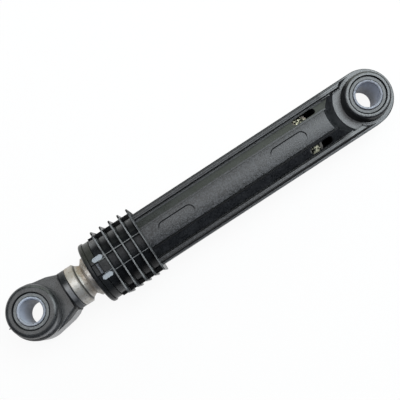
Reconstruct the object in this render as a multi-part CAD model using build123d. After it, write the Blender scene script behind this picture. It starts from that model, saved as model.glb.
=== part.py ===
from build123d import *
import math
import os

os.makedirs("parts", exist_ok=True)

# Friction damper for a washing-machine tub, lying with its eye bores upright.
# The origin is the middle of the housing eye, +X runs along the damper towards
# the rod eye, and +Z runs along the housing eye's bore. Lengths are millimetres.

# Driving dimensions: the whole damper
PIN_BORE_R = 7.0          # both sleeves take a 14 mm pin
ROD_R = 12.5              # outside of the steel tube
ROD_WALL = 1.0
ROD_LENGTH = 165.0
PULLED_OUT = 7.3          # the steel tube's inner end stands this far off the bore's blind end
ROD_TWIST = 7.0           # how far the rod eye has turned about the rod, degrees
SNUG = 0.03               # between pieces that are pressed or clipped together
RUNNING = 0.1             # between pieces that slide or turn on each other

# Eyes: sleeve in a rubber bush in a moulded boss
SLEEVE_WALL = 1.4
SLEEVE_HALF = 12.5        # half the sleeve's length
SLEEVE_LEAD = 0.9         # rounding at the mouth of the bore
SLEEVE_ROUND = 0.35       # rounding of its outer edges
BUSH_WALL = 2.3
BUSH_RECESS = 0.7         # rubber stays below the sleeve's ends
BUSH_ROUND = 0.55
EYE_HALF = 12.5           # half the width of a boss
SEAT_LEAD = 0.4           # chamfer at the mouths of a bush's seat
SLEEVE_R = PIN_BORE_R + SLEEVE_WALL
BUSH_R = SLEEVE_R + SNUG + BUSH_WALL
BUSH_SEAT_R = BUSH_R + SNUG

# Housing: long bore, and the tube round it with a raised flat face and two sloping faces on each side
BORE_CLEARANCE = 0.65     # between the steel tube and the long bore
BORE_R = ROD_R + BORE_CLEARANCE
TUBE_WALL = 1.85          # over the bore, at the flat faces
TUBE_HALF = BORE_R + TUBE_WALL
TUBE_FLAT = 6.05          # half the width of a flat face
LEDGE_DROP = 2.3          # from a flat face to the narrow ledge beside it
LEDGE_WIDTH = 1.1
LEDGE_TOP = TUBE_HALF - LEDGE_DROP
SLOPE_FALL = 3.4
SLOPE_FOOT = LEDGE_TOP - SLOPE_FALL
GUTTER_INSET = 1.05       # the tube's side stands this far inside the bore's width
TUBE_SIDE = BORE_R - GUTTER_INSET
GUTTER_FALL = 2.4         # from a sloping face to the gutter beside the rail
GUTTER_WIDTH = 0.9
GUTTER_FLOOR = SLOPE_FOOT - GUTTER_FALL
EDGE_ROUND = 0.3

# Housing: rails and web
RAIL_INNER = TUBE_SIDE + GUTTER_WIDTH
RAIL_WIDTH = 2.1
RAIL_HALF = 11.0          # how far the rails stand to either side of the middle plane
RAIL_STEP = 1.05          # width of the lower, inner part of a rail's top
RAIL_STEP_DROP = 0.4
RAIL_DRAFT = 0.85         # how much a rail's side leans out from top to foot
RAIL_FOOT = RAIL_INNER + RAIL_WIDTH + RAIL_DRAFT
WEB_LEDGE = 1.15          # web beyond the rails
WEB_SIDE = RAIL_FOOT + WEB_LEDGE
WEB_HALF = 4.5            # half the thickness of the web
WEB_ROUND = 0.6
WEB_GROOVE_DEPTH = 0.8    # along the foot of each rail, where the tube has ended

# Housing: eye end
BOSS_WALL = 2.85
BOSS_DRAFT = 0.6          # how much wider a boss is at its foot
BOSS_ROUND = 1.8
BOSS_R = BUSH_SEAT_R + BOSS_WALL
BOSS_FOOT_R = BOSS_R + BOSS_DRAFT
RAIL_GAP = 1.8            # between the boss and the ends of the rails
RAIL_END_SLOPE = 0.29     # how much that gap widens for each mm of height
RUNOUT_GAP = 4.65         # between the boss and the foot of the tube's sloping end
RUNOUT_SLOPE = 0.83
BORE_END_WALL = 1.425     # from the top of that sloping end to the bore's blind end
BORE_END = BOSS_FOOT_R + RUNOUT_GAP + RUNOUT_SLOPE * (TUBE_HALF - WEB_HALF) + BORE_END_WALL
SLOT_GAP = 1.0            # window slots start this far past the bore's blind end
SLOT_START = BORE_END + SLOT_GAP
SLOT_LENGTH = 15.0
SLOT_WIDTH = 3.9

# Collar: the housing's wide end, with cooling fins
COLLAR_START = 150.6
COLLAR_LENGTH = 29.5
COLLAR_END_WALL = 2.0
SEAM = COLLAR_START + COLLAR_LENGTH
SEAM_GAP = 0.3            # between the housing and its end cap
FIN_COUNT = 5
FIN_PITCH = 5.92
FIN_THICKNESS = 0.95
FIN_CORNER = 3.3
FIN_EDGE = 0.18
SHOULDER_LENGTH = 5.5     # plain stretch between the fins and the seam
CHANNEL_HALF = 5.3        # flat strip along the top and bottom of the collar
CHANNEL_DEPTH = 1.3
EDGE_RIB = 0.55           # ribs along that strip
EDGE_RIB_HEIGHT = 1.0
SIDE_RIB_HALF = 1.75      # ribs along both sides of the collar
SIDE_RIB_DROP = 0.9       # below the edges of the fins

# Sunk pads on the flat faces
PAD_LENGTH = 23.4
PAD_WIDTH = 7.2
PAD_DEPTH = 0.35
PAD_AFTER_SLOTS = 12.3    # from the slots' starts to the first pad
PAD_BEFORE_COLLAR = 9.3   # from the second pad to the collar

# Friction pack inside the collar
LINING_WALL = 1.64
CARRIER_WALL = 0.8
CARRIER_SEAT_R = ROD_R + RUNNING + LINING_WALL + SNUG + CARRIER_WALL + SNUG
CARRIER_RIB = 1.2         # end flange and middle rib of the carrier
CARRIER_PLAY = 0.4
CARRIER_REACH = 2.8       # past the seam, into the end cap
CARRIER_START = COLLAR_START + COLLAR_END_WALL + CARRIER_PLAY
CARRIER_END = SEAM + CARRIER_REACH
LUG_LENGTH = 6.5
LUG_WIDTH = 2.8
LUG_OFFSET = 5.55
LUG_BACK = 0.75           # middle of the lugs, back from the seam
LUG_RISE = 2.2            # above the carrier
LUG_PLAY = 0.15

# Radii of the collar, from its wall outwards
COLLAR_WALL = 1.95
COLLAR_R = CARRIER_SEAT_R + COLLAR_WALL
SHOULDER_RISE = 1.2
SHOULDER_R = COLLAR_R + SHOULDER_RISE
FIN_REACH_SIDE = 3.25
FIN_REACH_TOP = 0.95
FIN_SIDE = COLLAR_R + FIN_REACH_SIDE
FIN_TOP = COLLAR_R + FIN_REACH_TOP

# End cap
CAP_RISE = 0.45           # above the housing's shoulder
CAP_R = SHOULDER_R + CAP_RISE
CAP_LENGTH = 7.1          # from the seam to the front face
CAP_BORE_PLAY = 0.35
CAP_SEAT_PLAY = 0.3       # between the carrier's end and its stop in the cap
LIP_RISE = 0.75
LIP_LENGTH = 2.6
LIP_ROUND = 1.5
LIP_R = CAP_R + LIP_RISE
LIP_START = SEAM + CAP_LENGTH - LIP_LENGTH
GROOVE_DEPTH = 0.7
GROOVE_WIDTH = 0.5
WIPER_WALL = 1.57
WIPER_LENGTH = 1.8
TONGUE_HALF = 3.2
TONGUE_PLAY = 0.3
TONGUE_REACH = 4.8        # back past the seam
TONGUE_THICKNESS = 0.5
TONGUE_TIP_RISE = 1.1
TONGUE_SINK = 0.45        # its underside lies this far below the collar's surface
TONGUE_BAR = 0.9          # length of the cross bar
TONGUE_NOTCH = 0.55       # length of the notches beside it
WEDGE_SIZE = 2.4
WEDGE_RISE = 0.35

# Places along the rod, from its inner end outwards
SHOULDER_GAP = 0.3        # between the steel tube's outer end and the rod eye's shoulder
SHOULDER_REACH = 26.4     # from that shoulder to the rod eye
ROD_START = BORE_END + PULLED_OUT
ROD_END = ROD_START + ROD_LENGTH
EYE_DISTANCE = ROD_END + SHOULDER_GAP + SHOULDER_REACH

# Rod eye, drawn in its own frame before the twist
ROD_BOSS_WALL = 5.0
ROD_BOSS_ROUND = 2.9
ROD_BOSS_R = BUSH_SEAT_R + ROD_BOSS_WALL
ROD_BODY_LEDGE = 1.25
ROD_BODY_R = ROD_BOSS_R + ROD_BODY_LEDGE
ROD_PLATE_TOP = 4.0
ROD_PLATE_THICKNESS = 2.8
PLATE_REACH = 20.8        # straight end of the upper plate, from the eye
PLATE_END_INSET = 2.7     # that end is narrower than the steel tube by this on each side
BODY_REACH = 23.7         # where the body meets the round shoulder
BODY_NECK = 2.9           # straight neck beside that shoulder
BODY_WAIST = 14.8         # from the eye to the bend in the body's side
BODY_WAIST_HALF = 14.7
BODY_DRAFT = 2.4          # degrees by which the body narrows downwards
BODY_FLARE = 1.1          # growth of the body's rounded underside for each mm towards the eye
SHOULDER_INSET = 0.1
PLUG_LENGTH = 14.9        # stem inside the steel tube
PLUG_LEAD = 1.5
NIB_R = 0.9
NIB_TIP_R = 0.25
NIB_LENGTH = 1.7

# Steel tube
END_ROUND = 0.45
CRIMP_DEPTH = 2.8         # rolled groove near the outer end
CRIMP_FLOOR = 1.0
CRIMP_FRONT = 4.7         # from the tube's outer end to the groove, its middle and its far side
CRIMP_MIDDLE = 8.6
CRIMP_FAR = 11.3
CRIMP_STEP = 1.2          # steeper end of the groove's front side
CRIMP_STEP_DEPTH = 1.6
RING_SEAT_DEPTH = 1.1     # groove near the inner end, for the guide ring
RING_SETBACK = 1.7
RING_LENGTH = 5.2
RING_PLAY = 0.2
RING_RIM_DROP = 0.2       # tube's rim outside the guide ring

BOTH = (Align.CENTER, Align.CENTER, Align.CENTER)
UPWARD = (Align.CENTER, Align.CENTER, Align.MIN)
OVERCUT = 1.0             # how far cutting shapes run past what they cut


def upright(radius, half, at=0.0):
    """Cylinder along Z, centred on the middle plane."""
    return Pos(at, 0, 0) * Cylinder(radius, 2 * half, align=BOTH)


def along(radius, start, end):
    """Cylinder along X between two places."""
    return Pos(start, 0, 0) * Rot(0, 90, 0) * Cylinder(radius, end - start, align=UPWARD)


def turned(points):
    """Solid turned about X from (place, radius) points."""
    outline = Polyline(*[(x, 0, r) for x, r in points], close=True)
    return revolve(make_face(outline), Axis.X, 360)


def ring_along(inner, outer, start, end):
    return along(outer, start, end) - along(inner, start - OVERCUT, end + OVERCUT)


def block(x0, x1, y0, y1, z0, z1):
    size = (x1 - x0, y1 - y0, z1 - z0)
    middle = ((x0 + x1) / 2, (y0 + y1) / 2, (z0 + z1) / 2)
    return Pos(*middle) * Box(*size, align=BOTH)


def prism(points, z0, z1):
    """Upright prism on a plan outline."""
    outline = Polyline(*[(x, y, z0) for x, y in points], close=True)
    return extrude(make_face(outline), amount=z1 - z0, dir=(0, 0, 1))


def long_slot(length, width, x, y, z0, z1):
    """Upright stadium, its length along X."""
    sketch = Pos(x, y, z0) * SlotOverall(length, width)
    return extrude(sketch, amount=z1 - z0, dir=(0, 0, 1))


def profile_along(corners, rounded, end):
    """Solid along X from 0 on a closed (y, z) outline, with some of its corners rounded."""
    face = make_face(Polyline(*[(0, y, z) for y, z in corners], close=True))
    chosen = [v for v in face.vertices()
              if any(math.hypot(abs(v.Y) - y, abs(v.Z) - z) < 1e-4 for y, z in rounded)]
    return extrude(fillet(chosen, EDGE_ROUND), amount=end, dir=(1, 0, 0))


def front_and_back(solid):
    return solid + mirror(solid, about=Plane.XY)


def both_sides(solid):
    return solid + mirror(solid, about=Plane.XZ)


def round_rims(solid, radius, top, bottom=None):
    """Round the circular edges that lie at one or two heights."""
    heights = [top] if bottom is None else [top, bottom]
    rims = [e for e in solid.edges().filter_by(GeomType.CIRCLE)
            if any(abs(e.center().Z - h) < 1e-4 for h in heights)]
    return fillet(rims, radius)


def bush_seat(at):
    """Bore of an eye, with chamfered mouths."""
    mouth = Cone(BUSH_SEAT_R, BUSH_SEAT_R + SEAT_LEAD, SEAT_LEAD, align=UPWARD)
    mouth = Pos(at, 0, EYE_HALF - SEAT_LEAD) * mouth
    return upright(BUSH_SEAT_R, EYE_HALF + OVERCUT, at) + front_and_back(mouth)


# Housing


def housing_boss():
    half = Pos(0, 0, WEB_HALF) * Cone(BOSS_FOOT_R, BOSS_R, EYE_HALF - WEB_HALF, align=UPWARD)
    return front_and_back(round_rims(half, BOSS_ROUND, EYE_HALF))


def housing_web():
    """Flat web, round at the eye, with rounded edges."""
    length = COLLAR_START + FIN_THICKNESS
    plan = Circle(WEB_SIDE) + Pos(length / 2, 0) * Rectangle(length, 2 * WEB_SIDE)
    slab = extrude(plan, amount=WEB_HALF, both=True)
    rims = [e for e in slab.edges()
            if abs(abs(e.center().Z) - WEB_HALF) < 1e-4 and e.center().X < length - WEB_ROUND]
    return fillet(rims, WEB_ROUND)


def space_round_eye(radius, slope):
    """Space above the web and round the eye that widens upwards."""
    height = TUBE_HALF + OVERCUT - WEB_HALF
    return Pos(0, 0, WEB_HALF) * Cone(radius, radius + slope * height, height, align=UPWARD)


def housing_rails():
    """Rail along each side of the web, with a stepped top and ends that curve round the boss."""
    step = RAIL_INNER + RAIL_STEP
    top = RAIL_INNER + RAIL_WIDTH
    low = RAIL_HALF - RAIL_STEP_DROP
    upper = [(RAIL_INNER, low), (step, low), (step, RAIL_HALF), (top, RAIL_HALF), (RAIL_FOOT, WEB_HALF)]
    corners = upper + [(y, -z) for y, z in reversed(upper)]
    rail = profile_along(corners, [(RAIL_INNER, low), (top, RAIL_HALF)], COLLAR_START + FIN_THICKNESS)
    return both_sides(rail) - front_and_back(space_round_eye(BOSS_FOOT_R + RAIL_GAP, RAIL_END_SLOPE))


def housing_tube():
    """Tube round the long bore, which runs out towards the eye in a cone."""
    ledge = TUBE_FLAT + LEDGE_WIDTH
    quarter = [(TUBE_FLAT, TUBE_HALF), (TUBE_FLAT, LEDGE_TOP), (ledge, LEDGE_TOP),
               (TUBE_SIDE, SLOPE_FOOT), (TUBE_SIDE, GUTTER_FLOOR), (RAIL_INNER, GUTTER_FLOOR)]
    right = quarter + [(y, -z) for y, z in reversed(quarter)]
    corners = right + [(-y, z) for y, z in reversed(right)]
    tube = profile_along(corners, [quarter[0], quarter[2], quarter[3]], COLLAR_START + FIN_THICKNESS)
    return tube - front_and_back(space_round_eye(BOSS_FOOT_R + RUNOUT_GAP, RUNOUT_SLOPE))


def web_grooves():
    """Short grooves in the web between the rails' ends and the foot of the tube."""
    start = math.sqrt((BOSS_FOOT_R + RAIL_GAP) ** 2 - RAIL_INNER ** 2)
    end = math.sqrt((BOSS_FOOT_R + RUNOUT_GAP) ** 2 - TUBE_SIDE ** 2)
    groove = block(start, end, TUBE_SIDE, RAIL_INNER, WEB_HALF - WEB_GROOVE_DEPTH, WEB_HALF + OVERCUT)
    return front_and_back(both_sides(groove))


def fin(start):
    plate = Plane.YZ.offset(start) * RectangleRounded(2 * FIN_SIDE, 2 * FIN_TOP, FIN_CORNER)
    solid = extrude(plate, amount=FIN_THICKNESS, dir=(1, 0, 0))
    rims = [e for e in solid.edges() if abs(e.position_at(0).X - e.position_at(1).X) < 1e-4]
    return chamfer(rims, FIN_EDGE)


def collar():
    """Round collar with a flat channel on top and bottom, ribs along its sides, and fins."""
    shoulder = SEAM - SHOULDER_LENGTH
    floor = COLLAR_R - CHANNEL_DEPTH
    side = FIN_SIDE - SIDE_RIB_DROP
    body = along(COLLAR_R, COLLAR_START, shoulder + OVERCUT)
    channel = block(COLLAR_START, shoulder, -CHANNEL_HALF, CHANNEL_HALF, floor, COLLAR_R + OVERCUT)
    edge = block(COLLAR_START, shoulder, CHANNEL_HALF - EDGE_RIB, CHANNEL_HALF,
                 floor - OVERCUT, floor + EDGE_RIB_HEIGHT)
    body = body - front_and_back(channel) + front_and_back(both_sides(edge))
    body += along(SHOULDER_R, shoulder, SEAM)
    body += block(COLLAR_START, SEAM, -side, side, -SIDE_RIB_HALF, SIDE_RIB_HALF)
    for k in range(FIN_COUNT):
        body += fin(COLLAR_START + k * FIN_PITCH)
    return body


def lug_windows():
    """Stadium shapes round the carrier's four lugs."""
    shape = long_slot(LUG_LENGTH + 2 * LUG_PLAY, LUG_WIDTH + 2 * LUG_PLAY,
                      SEAM - LUG_BACK, LUG_OFFSET, 0, LIP_R + OVERCUT)
    return front_and_back(both_sides(shape))


def tongue_recess(start, end):
    half = TONGUE_HALF + TONGUE_PLAY
    return front_and_back(block(start, end, -half, half, COLLAR_R - TONGUE_SINK, LIP_R + OVERCUT))


def window_slots():
    """Slots through the two sloping faces on the front, over the steel tube's inner end."""
    offset = (TUBE_FLAT + LEDGE_WIDTH + TUBE_SIDE) / 2
    slot = long_slot(SLOT_LENGTH, SLOT_WIDTH, SLOT_START + SLOT_LENGTH / 2, offset, 0, TUBE_HALF)
    return both_sides(slot)


def sunk_pads():
    first = SLOT_START + PAD_AFTER_SLOTS + PAD_LENGTH / 2
    second = COLLAR_START - PAD_BEFORE_COLLAR - PAD_LENGTH / 2
    pads = [long_slot(PAD_LENGTH, PAD_WIDTH, x, 0, TUBE_HALF - PAD_DEPTH, TUBE_HALF + OVERCUT)
            for x in (first, second)]
    return front_and_back(pads[0] + pads[1])


def housing():
    body = housing_web() + housing_rails() + housing_tube() + collar() + housing_boss()
    body -= along(BORE_R, BORE_END, SEAM + OVERCUT)
    body -= along(CARRIER_SEAT_R, COLLAR_START + COLLAR_END_WALL, SEAM + OVERCUT)
    body -= window_slots()
    body -= sunk_pads()
    body -= web_grooves()
    body -= lug_windows()
    body -= tongue_recess(SEAM - TONGUE_REACH - TONGUE_PLAY, SEAM + OVERCUT)
    return body - bush_seat(0)


# Pieces held by the housing


def tongue():
    """Snap tongue that reaches back from the end cap into the housing."""
    root = COLLAR_R - TONGUE_SINK
    floor = root + TONGUE_THICKNESS
    top = floor + TONGUE_TIP_RISE
    back = SEAM + SEAM_GAP
    tip = SEAM - TONGUE_REACH
    bar = back + TONGUE_NOTCH
    root_start = bar + TONGUE_BAR + TONGUE_NOTCH
    arm = block(tip, bar, -TONGUE_HALF, TONGUE_HALF, root + SNUG, floor)
    arm += block(back, LIP_START, -TONGUE_HALF, TONGUE_HALF, root - TONGUE_THICKNESS, floor)
    arm += block(tip, SEAM - TONGUE_PLAY / 2, -TONGUE_HALF, TONGUE_HALF, floor, top)
    arm += block(bar, bar + TONGUE_BAR, -TONGUE_HALF, TONGUE_HALF, floor, top)
    arm += block(root_start, LIP_START, -TONGUE_HALF, TONGUE_HALF, floor, top)
    middle = (tip + SEAM) / 2
    half = WEDGE_SIZE / 2
    wedge = prism([(middle - half, -half), (middle + half, -half), (middle - half, half)],
                  top, top + WEDGE_RISE)
    return arm + wedge


def end_cap():
    back = SEAM + SEAM_GAP
    front = SEAM + CAP_LENGTH
    bore = ROD_R + CAP_BORE_PLAY
    stop = CARRIER_END + CAP_SEAT_PLAY
    wiper_end = stop + WIPER_LENGTH + 2 * SNUG
    wiper_seat = ROD_R + RUNNING + WIPER_WALL + SNUG
    groove = LIP_START - GROOVE_WIDTH
    floor = CAP_R - GROOVE_DEPTH
    cap = turned([
        (back, CARRIER_SEAT_R), (back, CAP_R), (groove, CAP_R), (groove, floor),
        (LIP_START, floor), (LIP_START, LIP_R), (front, LIP_R), (front, bore),
        (wiper_end, bore), (wiper_end, wiper_seat), (stop, wiper_seat), (stop, CARRIER_SEAT_R),
    ])
    nose = [e for e in cap.edges().filter_by(GeomType.CIRCLE)
            if abs(e.center().X - front) < 1e-4 and abs(e.radius - LIP_R) < 1e-4]
    cap = fillet(nose, LIP_ROUND)
    cap -= lug_windows()
    cap -= tongue_recess(back - OVERCUT, LIP_START)
    return cap + front_and_back(tongue())


def lining_carrier():
    """Sleeve round the linings, with a lug at each of four windows."""
    outer = CARRIER_SEAT_R - SNUG
    inner = outer - CARRIER_WALL
    rib = inner - CARRIER_RIB
    middle = (CARRIER_START + CARRIER_END) / 2
    body = ring_along(inner, outer, CARRIER_START, CARRIER_END)
    body += ring_along(rib, outer, CARRIER_START, CARRIER_START + CARRIER_RIB)
    body += ring_along(rib, outer, middle - CARRIER_RIB / 2, middle + CARRIER_RIB / 2)
    lug = long_slot(LUG_LENGTH, LUG_WIDTH, SEAM - LUG_BACK, LUG_OFFSET, 0, CARRIER_SEAT_R + LUG_RISE)
    lugs = front_and_back(both_sides(lug))
    lugs -= along(inner + CARRIER_WALL / 2, CARRIER_START, CARRIER_END + LUG_LENGTH)
    return body + lugs


def lining_span(rear):
    """Start and end of one friction lining, either side of the carrier's middle rib."""
    middle = (CARRIER_START + CARRIER_END) / 2
    if rear:
        return CARRIER_START + CARRIER_RIB + SNUG, middle - CARRIER_RIB / 2 - SNUG
    return middle + CARRIER_RIB / 2 + SNUG, CARRIER_END - RUNNING


def friction_lining(rear):
    start, end = lining_span(rear)
    inner = ROD_R + RUNNING
    return ring_along(inner, inner + LINING_WALL, start, end)


def wiper_ring():
    start = CARRIER_END + CAP_SEAT_PLAY + SNUG
    inner = ROD_R + RUNNING
    return ring_along(inner, inner + WIPER_WALL, start, start + WIPER_LENGTH)


# Sleeve and bush, the same at both ends


def sleeve():
    tube = upright(SLEEVE_R, SLEEVE_HALF) - upright(PIN_BORE_R, SLEEVE_HALF + OVERCUT)
    mouths = [e for e in tube.edges().filter_by(GeomType.CIRCLE) if abs(e.radius - PIN_BORE_R) < 1e-4]
    tube = fillet(mouths, SLEEVE_LEAD)
    rims = [e for e in tube.edges().filter_by(GeomType.CIRCLE)
            if abs(e.radius - SLEEVE_R) < 1e-4 and abs(abs(e.center().Z) - SLEEVE_HALF) < 1e-4]
    return fillet(rims, SLEEVE_ROUND)


def bush():
    half = SLEEVE_HALF - BUSH_RECESS
    rubber = upright(BUSH_R, half) - upright(SLEEVE_R + SNUG, half + OVERCUT)
    return round_rims(rubber, BUSH_ROUND, half, -half)


# Rod


def crimp_profile(radius):
    """Points along the rolled groove in a wall of this radius, from its far side to its front."""
    middle = ROD_END - CRIMP_MIDDLE
    front = ROD_END - CRIMP_FRONT
    return [
        (ROD_END - CRIMP_FAR, radius),
        (middle - CRIMP_FLOOR / 2, radius - CRIMP_DEPTH), (middle + CRIMP_FLOOR / 2, radius - CRIMP_DEPTH),
        (front - CRIMP_STEP, radius - CRIMP_STEP_DEPTH), (front, radius),
    ]


def rod_profile(radius):
    """Outline of one side of the tube's wall, from its inner end to its outer end."""
    seat_start = ROD_START + RING_SETBACK - RING_PLAY
    seat_end = seat_start + RING_LENGTH + 2 * RING_PLAY
    seat = radius - RING_SEAT_DEPTH
    rim = radius - RING_RIM_DROP
    ring_seat = [(seat_start, rim), (seat_start, seat), (seat_end, seat), (seat_end, radius)]
    return [(ROD_START, rim)] + ring_seat + crimp_profile(radius) + [(ROD_END, radius)]


def rod_tube():
    tube = turned(rod_profile(ROD_R) + list(reversed(rod_profile(ROD_R - ROD_WALL))))
    rims = [e for e in tube.edges().filter_by(GeomType.CIRCLE)
            if abs(e.center().X - ROD_END) < 1e-4 and abs(e.radius - ROD_R) < 1e-4]
    return fillet(rims, END_ROUND)


def guide_ring():
    start = ROD_START + RING_SETBACK
    return ring_along(ROD_R - RING_SEAT_DEPTH + RUNNING, BORE_R - RUNNING, start, start + RING_LENGTH)


def eye_plan(radius, sides, height):
    """Plan of the rod eye: a round end, and sides through (distance from the eye, half width) points."""
    reach, half = sides[0]
    touch = math.atan2(half, -reach) - math.acos(radius / math.hypot(reach, half))
    upper = [(EYE_DISTANCE + radius * math.cos(touch), radius * math.sin(touch), height)]
    upper += [(EYE_DISTANCE - away, wide, height) for away, wide in sides]
    lower = [(x, -y, z) for x, y, z in upper]
    flanks = Polyline(*lower, *reversed(upper))
    nose = ThreePointArc(upper[0], (EYE_DISTANCE + radius, 0, height), lower[0])
    return make_face(flanks.edges() + nose.edges())


def rod_plug():
    """Stem inside the steel tube, with the groove that the rolled crimp grips."""
    start = ROD_END - PLUG_LENGTH
    end = ROD_END + SHOULDER_GAP + SNUG
    radius = ROD_R - ROD_WALL - SNUG
    lead = [(start, 0), (start, radius - PLUG_LEAD), (start + PLUG_LEAD, radius)]
    return turned(lead + crimp_profile(radius) + [(end, radius), (end, 0)])


def rod_eye():
    body_end = EYE_DISTANCE - BODY_REACH
    shoulder_r = ROD_R - SHOULDER_INSET
    low = ROD_PLATE_TOP - ROD_PLATE_THICKNESS
    tip = EYE_DISTANCE + ROD_BODY_R
    neck = BODY_REACH - BODY_NECK
    plate = eye_plan(ROD_BODY_R, [(PLATE_REACH, ROD_R - PLATE_END_INSET)], low)
    plate = extrude(plate, amount=ROD_PLATE_THICKNESS, dir=(0, 0, 1))
    sides = [(BODY_WAIST, BODY_WAIST_HALF), (neck, shoulder_r), (BODY_REACH, shoulder_r)]
    back = eye_plan(ROD_BODY_R, sides, low)
    back = extrude(back, amount=low + EYE_HALF, dir=(0, 0, -1), taper=BODY_DRAFT)
    flare = turned([(body_end, 0), (body_end, shoulder_r),
                    (tip, shoulder_r + BODY_FLARE * (tip - body_end)), (tip, 0)])
    boss = Pos(EYE_DISTANCE, 0, 0) * Cylinder(ROD_BOSS_R, EYE_HALF, align=UPWARD)
    boss = round_rims(boss, ROD_BOSS_ROUND, EYE_HALF)
    shoulder = along(shoulder_r, EYE_DISTANCE - SHOULDER_REACH, body_end + BODY_NECK / 2)
    nib = Pos(tip - NIB_R, 0, (low + ROD_PLATE_TOP) / 2) * Rot(0, 90, 0) * Cone(
        NIB_R, NIB_TIP_R, NIB_R + NIB_LENGTH, align=UPWARD)
    body = (back & flare) + plate + boss + shoulder + rod_plug() + nib
    return body - bush_seat(EYE_DISTANCE)


def twisted(solid):
    """Turn a piece of the rod eye about the rod, as it has settled."""
    return Rot(ROD_TWIST, 0, 0) * solid


def at_rod_eye(solid):
    return twisted(Pos(EYE_DISTANCE, 0, 0) * solid)


PIECES = {
    "housing": housing,
    "end_cap": end_cap,
    "lining_carrier": lining_carrier,
    "rear_lining": lambda: friction_lining(True),
    "front_lining": lambda: friction_lining(False),
    "wiper_ring": wiper_ring,
    "housing_bush": bush,
    "housing_sleeve": sleeve,
    "guide_ring": guide_ring,
    "rod_tube": rod_tube,
    "rod_eye": lambda: twisted(rod_eye()),
    "rod_bush": lambda: at_rod_eye(bush()),
    "rod_sleeve": lambda: at_rod_eye(sleeve()),
}

for name, build in PIECES.items():
    export_step(build(), f"parts/{name}.step")
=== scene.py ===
import math

import bpy
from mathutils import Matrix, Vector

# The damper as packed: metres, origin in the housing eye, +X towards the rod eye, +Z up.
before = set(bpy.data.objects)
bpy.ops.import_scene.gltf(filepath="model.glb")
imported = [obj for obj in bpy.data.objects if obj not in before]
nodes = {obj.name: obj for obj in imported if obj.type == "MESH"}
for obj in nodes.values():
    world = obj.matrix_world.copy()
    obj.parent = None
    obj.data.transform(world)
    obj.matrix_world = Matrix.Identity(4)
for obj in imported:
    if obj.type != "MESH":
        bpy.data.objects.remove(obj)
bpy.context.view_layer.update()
MM = 0.001


# The damper lies on a white table and is seen from straight above its eyes.
# It rests on the edge where its lower flat begins and on the lip of the end cap, so the
# table falls away a little towards the rod eye.
FLAT_CONTACT = (27.0 * MM, -15.0 * MM)
LIP_CONTACT = (184.6 * MM, -19.44 * MM)
TABLE_GAP = 0.02 * MM
TABLE_REACH = 3.0
TABLE_WHITE = (0.82, 0.82, 0.82, 1.0)
SHADOW_LEFT = 0.08

slope = (LIP_CONTACT[1] - FLAT_CONTACT[1]) / (LIP_CONTACT[0] - FLAT_CONTACT[0])


def table_height(x):
    return FLAT_CONTACT[1] + slope * (x - FLAT_CONTACT[0]) - TABLE_GAP


corners = []
for sx, sy in ((-1, -1), (1, -1), (1, 1), (-1, 1)):
    x = sx * TABLE_REACH
    corners.append((x, sy * TABLE_REACH, table_height(x)))
table_mesh = bpy.data.meshes.new("table_top")
table_mesh.from_pydata(corners, [], [(0, 1, 2, 3)])
table = bpy.data.objects.new("table_top", table_mesh)
bpy.context.scene.collection.objects.link(table)


class Signal:
    """A shader socket that can be used in sums like a number."""

    def __init__(self, finish, socket):
        self.finish = finish
        self.socket = socket

    def __add__(self, other):
        return self.finish.maths("ADD", self, other)

    def __radd__(self, other):
        return self.finish.maths("ADD", other, self)

    def __sub__(self, other):
        return self.finish.maths("SUBTRACT", self, other)

    def __rsub__(self, other):
        return self.finish.maths("SUBTRACT", other, self)

    def __mul__(self, other):
        return self.finish.maths("MULTIPLY", self, other)

    def __rmul__(self, other):
        return self.finish.maths("MULTIPLY", other, self)

    def __abs__(self):
        return self.finish.maths("ABSOLUTE", self)

    def at_most(self, other):
        return self.finish.maths("MINIMUM", self, other)

    def at_least(self, *others):
        highest = self
        for other in others:
            highest = self.finish.maths("MAXIMUM", highest, other)
        return highest


class Finish:
    """A material's nodes, or the world's."""

    def __init__(self, name, tree=None):
        if tree is None:
            self.material = bpy.data.materials.new(name)
            self.material.use_nodes = True
            tree = self.material.node_tree
        self.tree = tree
        self.tree.nodes.clear()

    def node(self, kind, settings, sockets, output=0):
        """Add a node; settings come first, then the values or links of its sockets."""
        new = self.tree.nodes.new(kind)
        for name, value in settings.items():
            setattr(new, name, value)
        for name, value in sockets.items():
            if isinstance(value, Signal):
                self.tree.links.new(value.socket, new.inputs[name])
            else:
                new.inputs[name].default_value = value
        return Signal(self, new.outputs[output])

    def maths(self, operation, *values):
        return self.node("ShaderNodeMath", {"operation": operation}, dict(enumerate(values)))

    def vectors(self, operation, *values, output=0):
        settings = {"operation": operation}
        return self.node("ShaderNodeVectorMath", settings, dict(enumerate(values)), output)

    def blend(self, factor, first, second):
        """Mix of two colours."""
        settings = {"data_type": "RGBA"}
        return self.node("ShaderNodeMix", settings, {0: factor, 6: first, 7: second}, output=2)

    def ramp(self, value, low, high):
        """0 below low, 1 above high, and a soft step in between."""
        settings = {"interpolation_type": "SMOOTHSTEP", "clamp": True}
        sockets = {0: value, 1: low, 2: high, 3: 0.0, 4: 1.0}
        return self.node("ShaderNodeMapRange", settings, sockets)

    def step(self, value, edge, soft):
        """0 below the edge and 1 above it, softened by the given width on each side."""
        return self.ramp(value, edge - soft, edge + soft)

    def band(self, value, low, high, soft):
        """1 between low and high, with soft edges."""
        return self.step(value, low, soft) * (1.0 - self.step(value, high, soft))

    def distance(self, first, second):
        """Length of the line whose two sides, at right angles, are given."""
        return self.maths("SQRT", first * first + second * second)

    def part(self, vector, axis):
        return self.node("ShaderNodeSeparateXYZ", {}, {"Vector": vector}, output=axis)

    def ends_in(self, shader, kind="ShaderNodeOutputMaterial"):
        new = self.tree.nodes.new(kind)
        self.tree.links.new(shader.socket, new.inputs["Surface"])


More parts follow.
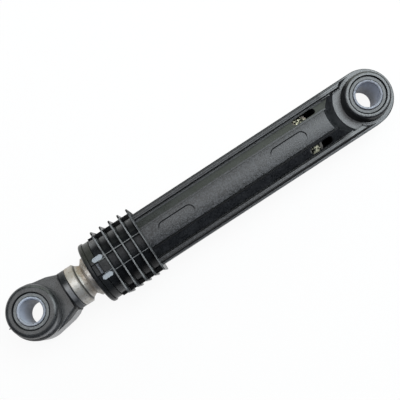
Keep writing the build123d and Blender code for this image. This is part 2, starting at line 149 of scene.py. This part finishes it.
def seen_directly(finish):
    """1 for what the camera, a reflection or a clear piece sees, 0 for light on things."""
    camera = finish.node("ShaderNodeLightPath", {}, {}, output="Is Camera Ray")
    glossy = finish.node("ShaderNodeLightPath", {}, {}, output="Is Glossy Ray")
    clear = finish.node("ShaderNodeLightPath", {}, {}, output="Is Transmission Ray")
    return camera.at_least(glossy, clear)


table_finish = Finish("table_white")
matt = table_finish.node("ShaderNodeBsdfDiffuse", {}, {"Color": TABLE_WHITE})
white = table_finish.node("ShaderNodeEmission", {}, {"Color": (1, 1, 1, 1), "Strength": 1.0})
share = seen_directly(table_finish) * (1.0 - SHADOW_LEFT)
table_finish.ends_in(table_finish.node("ShaderNodeMixShader", {}, {0: share, 1: matt, 2: white}))
table_mesh.materials.append(table_finish.material)


# The camera hangs 395 mm above the eyes' middle plane and looks straight down, with its
# frame shifted so that the damper fills the square from corner to corner.
IMAGE_SIDE = 400
FOCAL_PIXELS = 673.0
SENSOR = 36.0
CAMERA_PLACE = (129.5 * MM, 31.3 * MM, 395.0 * MM)
CAMERA_TURN = 146.89
FRAME_CENTRE = (207.36, 265.08)

camera_data = bpy.data.cameras.new("camera")
camera_data.sensor_width = SENSOR
camera_data.lens = FOCAL_PIXELS * SENSOR / IMAGE_SIDE
camera_data.shift_x = (IMAGE_SIDE / 2 - FRAME_CENTRE[0]) / IMAGE_SIDE
camera_data.shift_y = (FRAME_CENTRE[1] - IMAGE_SIDE / 2) / IMAGE_SIDE
camera_data.clip_start = 0.01
camera = bpy.data.objects.new("camera", camera_data)
camera.location = CAMERA_PLACE
camera.rotation_euler = (0, 0, math.radians(CAMERA_TURN))
bpy.context.scene.collection.objects.link(camera)
bpy.context.scene.camera = camera
bpy.context.scene.view_settings.view_transform = "Standard"


# Soft light: a wide box overhead, a cooler one on the housing eye's side, a long low window
# at -Y that shows in the faces turned that way, and a dim cool room, white to the camera only.
CEILING = ((0.0, -0.28, 1.1), (1.8, 0.85), 2.45, (1.0, 1.0, 1.0))
EYE_BOX = ((-0.62, -0.1, 1.0), (0.8, 0.9), 4.5, (0.84, 0.95, 1.0))
WINDOW = ((-0.7, -1.3, 0.6), (2.0, 0.9), 2.15, (0.9, 1.0, 0.82))
ROOM_LIGHT = (0.045, 0.052, 0.07)
MIDDLE = Vector((0.11, 0.0, 0.0))


def soft_box(name, place, size, brightness, colour):
    """Flat lamp that looks at the damper's middle; its brightness is that of its face."""
    data = bpy.data.lights.new(name, "AREA")
    data.shape = "RECTANGLE"
    data.size, data.size_y = size
    data.energy = brightness * math.pi * size[0] * size[1]
    data.color = colour
    lamp = bpy.data.objects.new(name, data)
    lamp.location = place
    lamp.rotation_euler = (MIDDLE - Vector(place)).to_track_quat("-Z", "Y").to_euler()
    bpy.context.scene.collection.objects.link(lamp)


soft_box("ceiling_box", *CEILING)
soft_box("eye_box", *EYE_BOX)
soft_box("window_box", *WINDOW)

world = bpy.data.worlds.new("room")
world.use_nodes = True
bpy.context.scene.world = world
room = Finish("room", world.node_tree)
dim = room.node("ShaderNodeBackground", {}, {"Color": ROOM_LIGHT + (1,), "Strength": 1.0})
bright = room.node("ShaderNodeBackground", {}, {"Color": (1, 1, 1, 1), "Strength": 1.0})
seen = room.node("ShaderNodeLightPath", {}, {}, output="Is Camera Ray")
walls = room.node("ShaderNodeMixShader", {}, {0: seen, 1: dim, 2: bright})
room.ends_in(walls, "ShaderNodeOutputWorld")


# Housing: black nylon filled with short glass, in one moulding with its fins. Its broad faces
# are matt and mottled by the glass and sink a little along their sides; the collar under the
# fins came out of a polished part of the mould, and the fins' edges carry a painted highlight.
SKIN_BLACK = (0.006, 0.0066, 0.0074, 1.0)
SKIN_CLOUD = (0.055, 0.057, 0.063, 1.0)
# Pale grey of the painted highlights and painted light on the housing.
PAINTED_LIGHT_GREY = (0.16, 0.165, 0.17, 1.0)
# Dark matt colour mixed in for painted shade in corners and gaps.
DARK_MATT_BLACK = (0.006, 0.0065, 0.0075, 1.0)
SKIN_ROUGHNESS = 0.36
GRAIN_SCALE = 1.3
GRAIN_DEPTH = 0.05 * MM
PATCH_SCALE = 0.16
POLISH_SCALE = 0.35
POLISHED_ROUGHNESS = 0.3
EDGE_ROUNDING = 0.13 * MM

# Places on the damper count in millimetres. Its near side is at +Y, and its far side at -Y.
RUNOUT_MIDDLE = 23.0
RUNOUT_HALF = 3.0
RUNOUT_END = 24.0
COLLAR_START = 150.9
PAD_MIDDLES = (54.0, 129.6)
PAD_HALF = 11.7
PAD_END_RADIUS = 3.6
PAD_SHADE_SLANT = 0.09


def millimetres(finish):
    """Object coordinates counted in millimetres."""
    place = finish.node("ShaderNodeTexCoord", {}, {}, output="Object")
    return finish.node("ShaderNodeMapping", {}, {"Vector": place, "Scale": (1 / MM,) * 3})


def speckle(finish, place, scale, detail=3.0, rough=0.6):
    """Noise with about one grain in each 1/scale millimetres."""
    return finish.node("ShaderNodeTexNoise", {}, {
        "Vector": place, "Scale": scale, "Detail": detail, "Roughness": rough})


def rounded_normal(finish, radius):
    return finish.node("ShaderNodeBevel", {"samples": 6}, {"Radius": radius})


def bumped(finish, height, strength, distance, under):
    return finish.node("ShaderNodeBump", {}, {
        "Height": height, "Strength": strength, "Distance": distance, "Normal": under})


def facing(finish, axis):
    """How squarely a face looks along an axis: 1 with it, -1 against it, 0 aside."""
    normal = finish.node("ShaderNodeTexCoord", {}, {}, output="Normal")
    return finish.part(normal, axis)


def faces_up(finish):
    """1 on faces that look straight up or down, 0 on sloping ones."""
    return finish.ramp(abs(facing(finish, "Z")), 0.88, 0.98)


def dress(node, material):
    """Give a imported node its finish."""
    mesh = nodes[node].data
    mesh.materials.clear()
    mesh.materials.append(material)


def polished_skin(finish, place, colour, normal):
    """Shader of the smooth moulded faces round the collar."""
    smooth = speckle(finish, place, POLISH_SCALE, detail=2.0)
    return finish.node("ShaderNodeBsdfPrincipled", {}, {
        "Base Color": colour,
        "Roughness": POLISHED_ROUGHNESS + (smooth - 0.5) * 0.2,
        "Specular IOR Level": 0.22,
        "Normal": normal,
    })


def under_dark_matt(finish, shader, amount):
    """A finish mixed with a dark matt shader by the given amount, mostly as painted shade in
    corners, recesses and gaps.
    """
    darkening = finish.node("ShaderNodeBsdfDiffuse", {}, {"Color": DARK_MATT_BLACK})
    return finish.node("ShaderNodeMixShader", {}, {0: amount, 1: shader, 2: darkening})


def pad_outline(finish, x, y, middle):
    """Painted shade round a sunk pad's far side and its end towards the housing eye; the near
    side stays clear.
    """
    beyond = (abs(x - middle) - (PAD_HALF - PAD_END_RADIUS)).at_least(0.0)
    from_edge = finish.distance(beyond, y) - PAD_END_RADIUS
    shaded_part = finish.ramp(0.0 - y - (x - middle) * PAD_SHADE_SLANT, -0.6, 1.4)
    return finish.band(from_edge, -0.45, 0.2, 0.1) * shaded_part


housing = Finish("glass_filled_black")
place = millimetres(housing)
x = housing.part(place, "X")
y = housing.part(place, "Y")
z = housing.part(place, "Z")
grain = speckle(housing, place, GRAIN_SCALE, detail=2.0)
patches = speckle(housing, place, PATCH_SCALE, detail=4.0)
upright = faces_up(housing)
past_runout = housing.step(x, RUNOUT_MIDDLE, RUNOUT_HALF)
on_tube = housing.band(x, RUNOUT_END, COLLAR_START, 0.3)
in_collar = housing.step(x, COLLAR_START, 0.4)

# The glass clouds the black. Painted highlights lie on the fins' and ribs' edges, and painted
# light on the near web edge, along the far rail, on the collar's sides and beside the eye.
FIN_TOP = 18.0
FIN_SIDE = 20.3
RIB_LINE = 5.5
RIB_HALF = 0.6
RIB_TOP = 16.4
WEB_EDGE = 16.5
NEAR_WEB_LIGHT_END = 150.0
FAR_RAIL_LIGHT = (-12.5, -11.3)
FAR_SHEEN = (11.5, 15.2)
NEAR_SHEEN = (13.0, 16.0)
SHEEN_END = (15.5, 16.3)

glassy = housing.ramp(grain, 0.42, 0.62) * (0.25 + 0.55 * upright)
cloud = glassy + housing.ramp(patches, 0.4, 0.7) * 0.2
skin = housing.blend(cloud * (1.0 - 0.6 * in_collar), SKIN_BLACK, SKIN_CLOUD)
# Painted highlight on the fins' and ribs' edges in the collar.
fin_top = housing.ramp(abs(z), FIN_TOP - 0.3, FIN_TOP - 0.1)
fin_side = housing.ramp(abs(y), FIN_SIDE - 0.3, FIN_SIDE - 0.1)
rib_edge = housing.band(abs(y), RIB_LINE - RIB_HALF, RIB_LINE + RIB_HALF, 0.1)
rib_edge = rib_edge * housing.ramp(abs(z), RIB_TOP - 0.2, RIB_TOP + 0.1)
uneven = housing.ramp(patches + grain * 0.6, 0.5, 0.85)
painted_highlight = fin_top.at_least(fin_side, rib_edge) * in_collar * uneven
# Painted light on the near (+Y) edge of the web, weaker towards the collar.
near_web_light_fade = housing.ramp(x, 0.0, NEAR_WEB_LIGHT_END)
near_web_light = housing.ramp(y, WEB_EDGE - 0.4, WEB_EDGE) * (0.9 - 0.4 * near_web_light_fade)
# Painted light in a band along the far side next to the rail, on the tube part.
far_rail_light = housing.band(y, *FAR_RAIL_LIGHT, 0.3) * on_tube * 0.4
# Painted sheen on the collar's sides, stronger on the far side.
collar_sheen = housing.ramp(0.0 - y, *FAR_SHEEN) * 0.7 + housing.ramp(y, *NEAR_SHEEN) * 0.55
collar_sheen = collar_sheen * (1.0 - housing.ramp(abs(y), *SHEEN_END)) * in_collar
# Painted light on the up-facing faces beside the housing eye.
lit_beside_eye = (1.0 - past_runout) * upright * (0.4 + 0.5 * housing.ramp(grain, 0.3, 0.7))
for paler in (painted_highlight, near_web_light, far_rail_light, collar_sheen, lit_beside_eye):
    skin = housing.blend(paler, skin, PAINTED_LIGHT_GREY)

# The flats sink along their sides. The collar, the greasy end of the tube part and the near
# rail are smoother than the rest.
CROWN_RADIUS = 32.0
COLLAR_CROWN_RADIUS = 19.0
FLAT_HALF = 6.05
GREASE_START = 128.0
GREASY_SIDE = (-12.0, 0.0)
RAIL_LINE = 12.6
RAIL_GRIME = (40.0, 135.0)

across = abs(y).at_most(FLAT_HALF)
crown = 0.5 / CROWN_RADIUS + in_collar * (0.5 / COLLAR_CROWN_RADIUS - 0.5 / CROWN_RADIUS)
sink = across * across * crown * past_runout
crowned = bumped(housing, 0.0 - sink, 1.0, MM, rounded_normal(housing, EDGE_ROUNDING))
steep = 1.0 - housing.ramp(abs(facing(housing, "Z")), 0.2, 0.5)
matt_skin = housing.node("ShaderNodeBsdfPrincipled", {}, {
    "Base Color": skin,
    "Roughness": SKIN_ROUGHNESS + (grain - 0.5) * 0.5 + (patches - 0.5) * 0.1 + 0.35 * steep,
    "Normal": bumped(housing, grain, 0.8, GRAIN_DEPTH, crowned),
})
polished = polished_skin(housing, place, skin, crowned)
greasy_end = housing.ramp(x, GREASE_START, COLLAR_START) * housing.ramp(y, *GREASY_SIDE) * 0.6
greasy_rail = housing.step(y, RAIL_LINE, 0.2) * housing.ramp(x, *RAIL_GRIME) * 0.85
greasy = in_collar.at_least(greasy_end, greasy_rail)
moulded = housing.node("ShaderNodeMixShader", {}, {0: greasy, 1: matt_skin, 2: polished})

# Painted shade on the tube part: round the pads, on the near ledge, along the near rail's top,
# and thinly over the flats' far side.
LEDGE_START = 6.15
LEDGE_END = 7.3
LEDGE_TOP = 12.7
SHADED_FAR_SIDE = (-6.0, -1.0)

pads = pad_outline(housing, x, y, PAD_MIDDLES[0])
pads = pads.at_least(pad_outline(housing, x, y, PAD_MIDDLES[1]))
near_ledge = housing.band(y, LEDGE_START, LEDGE_END, 0.15)
near_ledge = near_ledge * housing.band(abs(z), LEDGE_TOP - 1.0, LEDGE_TOP + 0.6, 0.2)
near_step = housing.band(y, RAIL_LINE - 0.3, RAIL_LINE + 0.6, 0.15)
shaded_far_side = (1.0 - housing.ramp(y, *SHADED_FAR_SIDE)) * upright
tube_shade = (pads * 0.95).at_least(near_ledge * 0.85, near_step * 0.8, shaded_far_side * 0.16)

# Painted shade on the rails' flanks and on the far ledge of the web at their foot.
RAIL_FLANK = 15.15
RAIL_FOOT = 15.95
RAIL_TOP = 11.0
WEB_TOP = 4.5
RAIL_SHADE_FULL = 12.0

flank = housing.band(abs(y), RAIL_FLANK, RAIL_FOOT, 0.1)
flank = flank * housing.band(abs(z), WEB_TOP + 0.3, RAIL_TOP, 0.3)
far_ledge = housing.ramp(0.0 - y, RAIL_FOOT - 0.3, RAIL_FOOT)
far_ledge = far_ledge * (1.0 - housing.ramp(abs(z), WEB_TOP, WEB_TOP + 0.5))
rail_shade = (flank * 0.75).at_least(far_ledge * 0.5)
rail_shade = rail_shade * housing.ramp(x, 0.0, RAIL_SHADE_FULL) * (1.0 - in_collar)

# Painted shade on the collar at the feet of the fins and ribs, and between the fins on the side
# ribs.
COLLAR_R = 17.05
FIN_PITCH = 5.92
FIN_THICKNESS = 0.95
FIN_FOOT_START = 0.7
FIN_FOOT_END = 0.9
RIB_FOOT_INSIDE = 1.9
RIB_FOOT_OUTSIDE = 2.4
CHANNEL_SIDE = (4.0, 6.0)
NEAR_CHANNEL_SIDE = (5.0, 8.0)
SIDE_RIB_START = (16.0, 16.5)
SIDE_RIB_TOP = (4.5, 6.0)

along_pitch = housing.maths("FLOORED_MODULO", x - (COLLAR_START - 0.3), FIN_PITCH)
clear_start = FIN_THICKNESS + FIN_FOOT_END
between_fins = housing.band(along_pitch, clear_start, FIN_PITCH - FIN_FOOT_START, 0.5)
rib_foot = housing.band(abs(y), RIB_LINE - RIB_FOOT_INSIDE, RIB_LINE + RIB_FOOT_OUTSIDE, 0.7)
channel = (1.0 - housing.ramp(abs(y), *CHANNEL_SIDE)) * 0.2
thin_shade = 0.25 + channel + housing.ramp(y, *NEAR_CHANNEL_SIDE) * 0.25
fin_shade = (1.0 - between_fins).at_least(rib_foot, thin_shade)
above_collar = housing.ramp(housing.distance(y, z), COLLAR_R + 0.05, COLLAR_R + 0.3)
fin_foot = fin_shade * in_collar * (1.0 - above_collar)
side_rib = housing.ramp(abs(y), *SIDE_RIB_START) * (1.0 - housing.ramp(abs(z), *SIDE_RIB_TOP))
side_rib = side_rib * in_collar * housing.band(along_pitch, FIN_THICKNESS, FIN_PITCH, 0.05)

# A darker ring round the bush's seat in the eye, and then all the painted shade and the ring
# over the moulded skin.
SEAT_RADIUS = 10.95

seat = housing.band(housing.distance(x, y), SEAT_RADIUS - 0.25, SEAT_RADIUS + 0.3, 0.1)
darkening = (tube_shade * on_tube).at_least(rail_shade, fin_foot * 0.8, side_rib * 0.8, seat * 0.6)
housing.ends_in(under_dark_matt(housing, moulded, darkening))
dress("housing", housing.material)


# End cap: the same black nylon, polished, snapped over the collar's end with two tongues. A
# bar crosses each tongue with a painted highlight, painted shade fills the gaps round it, and
# the cap's far side is painted lighter.
CAP_BLACK = (0.0105, 0.0112, 0.012, 1.0)
CAP_CLOUD = (0.02, 0.021, 0.0225, 1.0)
BAR_HIGHLIGHT = (0.13, 0.138, 0.16, 1.0)
CAP_LIT_GREY = (0.034, 0.035, 0.029, 1.0)
HAZE_SCALE = 0.7
TONGUE_HALF = 3.25
TONGUE_START = 175.3
TONGUE_END = 184.8
BAR_START = 180.5
BAR_END = 181.7
SEAM_START = 179.75
SEAM_END = 180.25
GAP = 0.5
TONGUE_TOP = 15.0
FAR_SIDE_LIGHT = (3.0, 10.0)

cap = Finish("end_cap_nylon")
place = millimetres(cap)
x = cap.part(place, "X")
y = cap.part(place, "Y")
on_top = cap.ramp(abs(cap.part(place, "Z")), TONGUE_TOP, TONGUE_TOP + 0.5)
haze = cap.ramp(speckle(cap, place, HAZE_SCALE, detail=4.0), 0.4, 0.7)
skin = cap.blend(haze, CAP_BLACK, CAP_CLOUD)
# Painted light on the cap's far (-Y) side.
skin = cap.blend(cap.ramp(0.0 - y, *FAR_SIDE_LIGHT) * 0.8, skin, CAP_LIT_GREY)
across_tongue = (1.0 - cap.step(abs(y), TONGUE_HALF, 0.1)) * on_top
# Painted highlight on the bar across each tongue.
bar = cap.band(x, BAR_START, BAR_END, 0.15) * across_tongue
skin = cap.blend(bar * (0.5 + 0.5 * haze), skin, BAR_HIGHLIGHT)
# Painted shade in the gaps round each tongue and along the seam.
along_tongue = cap.band(x, TONGUE_START, TONGUE_END, 0.1)
side_gaps = cap.band(abs(y), TONGUE_HALF, TONGUE_HALF + GAP, 0.1) * along_tongue
end_gap = cap.band(x, TONGUE_END - GAP, TONGUE_END, 0.1)
seam_gap = cap.band(x, SEAM_START, SEAM_END, 0.1)
gaps = (side_gaps * on_top).at_least(end_gap.at_least(seam_gap) * across_tongue)
polished = polished_skin(cap, place, skin, rounded_normal(cap, EDGE_ROUNDING))
cap.ends_in(under_dark_matt(cap, polished, gaps * 0.95))
dress("end_cap", cap.material)


# Lining carrier: light acetal sleeve pushed into the collar, with a few grey smears. Its four
# lugs show in the windows at the seam.
CARRIER_COLOUR = (0.29, 0.315, 0.345, 1.0)
SMEAR_COLOUR = (0.19, 0.205, 0.22, 1.0)
SMEAR_SCALE = 0.5
PLASTIC_ROUNDING = 0.12 * MM


def light_plastic(name, colour, smear, roughness, cover):
    """Pale plastic with more smears on it the nearer the cover is to 1."""
    finish = Finish(name)
    blotches = speckle(finish, millimetres(finish), SMEAR_SCALE, detail=4.0)
    smears = finish.ramp(blotches, 0.7 - 0.35 * cover, 0.76 - 0.35 * cover)
    shader = finish.node("ShaderNodeBsdfPrincipled", {}, {
        "Base Color": finish.blend(smears, colour, smear),
        "Roughness": roughness + smears * 0.1,
        "Specular IOR Level": 0.3,
        "Normal": rounded_normal(finish, PLASTIC_ROUNDING),
    })
    finish.ends_in(shader)
    return finish.material


dress("lining_carrier", light_plastic("carrier_acetal", CARRIER_COLOUR, SMEAR_COLOUR, 0.35, 0.3))


# Friction linings: greased foam strips bedded in the carrier, where they grip the tube. They
# are dark and quite rough.
LINING_COLOUR = (0.09, 0.075, 0.06, 1.0)
LINING_DARK = (0.04, 0.035, 0.03, 1.0)
CELL_SCALE = 3.0
CELL_DEPTH = 0.2 * MM
LINING_ROUNDING = 0.2 * MM

lining = Finish("greased_foam")
cells = speckle(lining, millimetres(lining), CELL_SCALE)
lining.ends_in(lining.node("ShaderNodeBsdfPrincipled", {}, {
    "Base Color": lining.blend(lining.ramp(cells, 0.4, 0.65), LINING_DARK, LINING_COLOUR),
    "Roughness": 0.75,
    "Normal": bumped(lining, cells, 0.6, CELL_DEPTH, rounded_normal(lining, LINING_ROUNDING)),
}))
dress("front_lining", lining.material)
dress("rear_lining", lining.material)


# Guide ring and wiper: cream acetal, clipped on and pressed in, smeared all over with the black
# grease of the bore, which leaves bare streaks and wet glints.
GREASED_COLOUR = (0.62, 0.6, 0.45, 1.0)
GREASE_AND_SHADE_BLACK = (0.012, 0.012, 0.01, 1.0)

greased = light_plastic("greased_acetal", GREASED_COLOUR, GREASE_AND_SHADE_BLACK, 0.15, 0.75)
dress("guide_ring", greased)
dress("wiper_ring", greased)


# Bushes: dusty black rubber rings bonded between the sleeves and the eyes. Their rounded crests
# are worn grey, and they are darker away from the crest, towards the sleeve and the boss.
RUBBER_BLACK = (0.012, 0.013, 0.015, 1.0)
RUBBER_DUST = (0.17, 0.175, 0.18, 1.0)
BLOOM_SCALE = 0.8
BLOOM_DEPTH = 0.05 * MM
RUBBER_ROUNDING = 0.15 * MM
CREST_RADIUS = 9.6
CREST_HALF = 0.85
ROD_TWIST = 7.0
EYES_APART = 228.0


def from_bore(finish, place, eye, twist):
    """Distance from an eye's bore axis, in millimetres."""
    moved = finish.vectors("SUBTRACT", place, (eye, 0, 0))
    untwist = (-math.radians(twist), 0, 0)
    level = finish.node("ShaderNodeMapping", {}, {"Vector": moved, "Rotation": untwist})
    flat = finish.vectors("MULTIPLY", level, (1, 1, 0))
    return finish.vectors("LENGTH", flat, output="Value")


def bush_rubber(name, eye, twist):
    """Rubber of the bush in one eye, its crest worn and dusty."""
    rubber = Finish(name)
    place = millimetres(rubber)
    bloom = rubber.ramp(speckle(rubber, place, BLOOM_SCALE, detail=5.0), 0.25, 0.7)
    radius = from_bore(rubber, place, eye, twist)
    crest = rubber.band(radius, CREST_RADIUS - CREST_HALF, CREST_RADIUS + CREST_HALF, 0.3)
    rounded = rounded_normal(rubber, RUBBER_ROUNDING)
    soft = rubber.node("ShaderNodeBsdfPrincipled", {}, {
        "Base Color": rubber.blend(crest * (0.5 + 0.5 * bloom), RUBBER_BLACK, RUBBER_DUST),
        "Roughness": 0.75 - crest * 0.25 + bloom * 0.1,
        "Normal": bumped(rubber, bloom, 0.2, BLOOM_DEPTH, rounded),
    })
    # Darker away from the crest.
    rubber.ends_in(under_dark_matt(rubber, soft, (1.0 - crest) * 0.7))
    return rubber.material


dress("housing_bush", bush_rubber("housing_bush_rubber", 0.0, 0.0))
dress("rod_bush", bush_rubber("rod_bush_rubber", EYES_APART, ROD_TWIST))


# Sleeves: bluish grey plastic tubes that turn on the machine's pins. The bore is painted darker
# towards the end that lies on the table, as painted shade, and the rims are scuffed.
SLEEVE_COLOUR = (0.415, 0.455, 0.55, 1.0)
SLEEVE_SHADED = (0.09, 0.112, 0.155, 1.0)
SLEEVE_RIM = (0.19, 0.195, 0.22, 1.0)
SLEEVE_REACH = 12.5
SCUFF_SCALE = 0.9

sleeve = Finish("sleeve_plastic")
place = millimetres(sleeve)
height = sleeve.part(place, "Z")
scuffs = sleeve.ramp(speckle(sleeve, place, SCUFF_SCALE, detail=4.0), 0.35, 0.7)
# Painted shade: the bore darkens towards the end on the table.
lit_upwards = sleeve.ramp(height, -SLEEVE_REACH, SLEEVE_REACH - 2.0)
rim = sleeve.ramp(height, SLEEVE_REACH - 1.6, SLEEVE_REACH - 0.2) * (0.6 + 0.4 * scuffs)
colour = sleeve.blend(rim, sleeve.blend(lit_upwards, SLEEVE_SHADED, SLEEVE_COLOUR), SLEEVE_RIM)
sleeve.ends_in(sleeve.node("ShaderNodeBsdfPrincipled", {}, {
    "Base Color": colour,
    "Roughness": 0.42 + scuffs * 0.12,
    "Specular IOR Level": 0.3,
    "Normal": rounded_normal(sleeve, PLASTIC_ROUNDING),
}))
dress("housing_sleeve", sleeve.material)
dress("rod_sleeve", sleeve.material)


# Tube: drawn steel, zinc plated, with fine turning marks and a brown film of old grease,
# thickest in the rolled groove that grips the rod eye's stem, and browner over the far half.
# A black band at the foot of the ridge is painted shade.
ZINC = (0.5, 0.485, 0.46, 1.0)
FILM = (0.27, 0.19, 0.11, 1.0)
GROOVE_CENTRE = 192.7
GROOVE_FLOOR = 0.6
GROOVE_REACH = 2.6
RIDGE_FOOT = 195.6
FAR_HALF = (-9.0, 0.5)
STAIN_SCALE = 0.5
SPOT_SCALE = 1.1
MARK_SCALE = (14.0, 0.25, 0.25)
MARK_DEPTH = 0.04 * MM
STEEL_ROUNDING = 0.15 * MM

zinc = Finish("zinc_plate")
place = millimetres(zinc)
x = zinc.part(place, "X")
near_groove = 1.0 - zinc.ramp(abs(x - GROOVE_CENTRE), GROOVE_FLOOR, GROOVE_REACH)
far_half = 1.0 - zinc.ramp(zinc.part(place, "Y"), *FAR_HALF)
# Painted shade in a band at the foot of the ridge.
behind_ridge = zinc.band(x, RIDGE_FOOT - 0.5, RIDGE_FOOT + 0.4, 0.2)
stains = zinc.ramp(speckle(zinc, place, STAIN_SCALE, detail=6.0, rough=0.7), 0.45, 0.65)
spots = zinc.ramp(speckle(zinc, place, SPOT_SCALE), 0.6, 0.68) * 0.6
film = (stains * 0.35 + near_groove * 0.35 + far_half * 0.3).at_most(0.9)
colour = zinc.blend(film, ZINC, FILM)
colour = zinc.blend((behind_ridge * 0.8).at_least(spots), colour, GREASE_AND_SHADE_BLACK)
stretched = zinc.node("ShaderNodeMapping", {}, {"Vector": place, "Scale": MARK_SCALE})
marks = zinc.node("ShaderNodeTexNoise", {}, {"Vector": stretched, "Scale": 1.0, "Detail": 2.0})
zinc.ends_in(zinc.node("ShaderNodeBsdfPrincipled", {}, {
    "Base Color": colour,
    "Metallic": 0.65 - film * 0.3,
    "Roughness": 0.36 + marks * 0.1 + film * 0.2,
    "Normal": bumped(zinc, marks, 0.3, MARK_DEPTH, rounded_normal(zinc, STEEL_ROUNDING)),
}))
dress("rod_tube", zinc.material)


# Rod eye: black nylon moulded on to the tube's end, smoother and greyer than the housing. Its
# near side and a strip of its shoulder carry painted light, painted shade lies in the step
# between shoulder and plate and on the shoulder beside the strip, and a darker ring lies round
# the seat of the bush.
EYE_BLACK = (0.013, 0.0138, 0.0145, 1.0)
EYE_CLOUD = (0.05, 0.052, 0.055, 1.0)
EYE_PATCH_SCALE = 0.2
EYE_ROUNDING = 0.15 * MM
STRIP_PAINTED_LIGHT = (0.2, 0.2, 0.21, 1.0)
STRIP_START = 202.0
STRIP_CROWN = (-3.0, 7.0)
STEP_START = 204.7
STEP_END = 206.4
NEAR_SIDE_LIGHT_END = (226.7, 238.7)
SEAT_START = 10.6
SEAT_END = 11.3

eye = Finish("rod_eye_nylon")
place = millimetres(eye)
x = eye.part(place, "X")
y = eye.part(place, "Y")
grain = speckle(eye, place, GRAIN_SCALE, detail=2.0)
patches = speckle(eye, place, EYE_PATCH_SCALE, detail=4.0)

cloud = eye.ramp(grain, 0.35, 0.7) * 0.6 + eye.ramp(patches, 0.4, 0.7) * 0.4
skin = eye.blend(cloud, EYE_BLACK, EYE_CLOUD)
# Painted highlight on a strip of the shoulder's top, and painted light on the near side.
strip = eye.band(x, STRIP_START, STEP_START, 0.2)
crown = eye.band(y, *STRIP_CROWN, 2.5)
near_side = eye.ramp(facing(eye, "Y"), 0.5, 0.9) * (1.0 - eye.ramp(x, *NEAR_SIDE_LIGHT_END))
painted_highlight = (strip * crown).at_least(near_side) * (0.5 + 0.5 * grain)
skin = eye.blend(painted_highlight, skin, STRIP_PAINTED_LIGHT)
# Painted shade in the step and on the shoulder beside the strip; a darker ring round the bush's
# seat.
step = eye.band(x, STEP_START, STEP_END, 0.25)
seat = eye.band(from_bore(eye, place, EYES_APART, ROD_TWIST), SEAT_START, SEAT_END, 0.15)
darkening = step.at_least(seat, strip * (1.0 - crown) * 0.6)
nylon = eye.node("ShaderNodeBsdfPrincipled", {}, {
    "Base Color": skin,
    "Roughness": 0.3 + (grain - 0.5) * 0.2,
    "Normal": bumped(eye, grain, 0.25, GRAIN_DEPTH, rounded_normal(eye, EYE_ROUNDING)),
})
eye.ends_in(under_dark_matt(eye, nylon, darkening * 0.8))
dress("rod_eye", eye.material)
